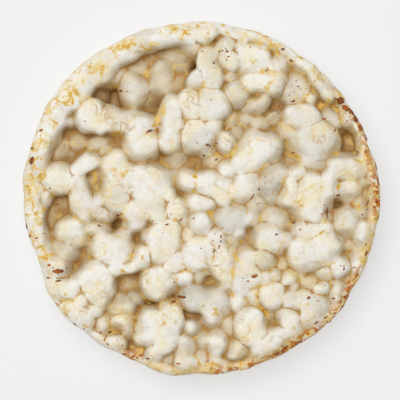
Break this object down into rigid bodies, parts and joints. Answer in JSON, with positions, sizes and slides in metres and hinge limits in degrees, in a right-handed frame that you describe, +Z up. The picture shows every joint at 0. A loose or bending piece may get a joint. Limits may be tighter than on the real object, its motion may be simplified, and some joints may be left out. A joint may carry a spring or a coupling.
{
  "type": "puffed rice cake",
  "caption": "Round, flat cake of puffed rice grains pressed together, with a smooth rim, bulging grains on both faces and small pockets between them.",
  "frame": {"origin": "middle of the underside, where the cake rests", "axes": "+Z up through the thickness, towards the face with the wide smooth rim band; +X and +Y lie in the plane of the cake"},
  "size_m": [0.0897, 0.0898, 0.0164],
  "materials": {
    "puffed_grain": "matte, dry, cream-white puffed starch with tan creases and toasted edges"
  },
  "bodies": {
    "root": {"rice_cake_body": "puffed_grain"}
  },
  "joints": []
}
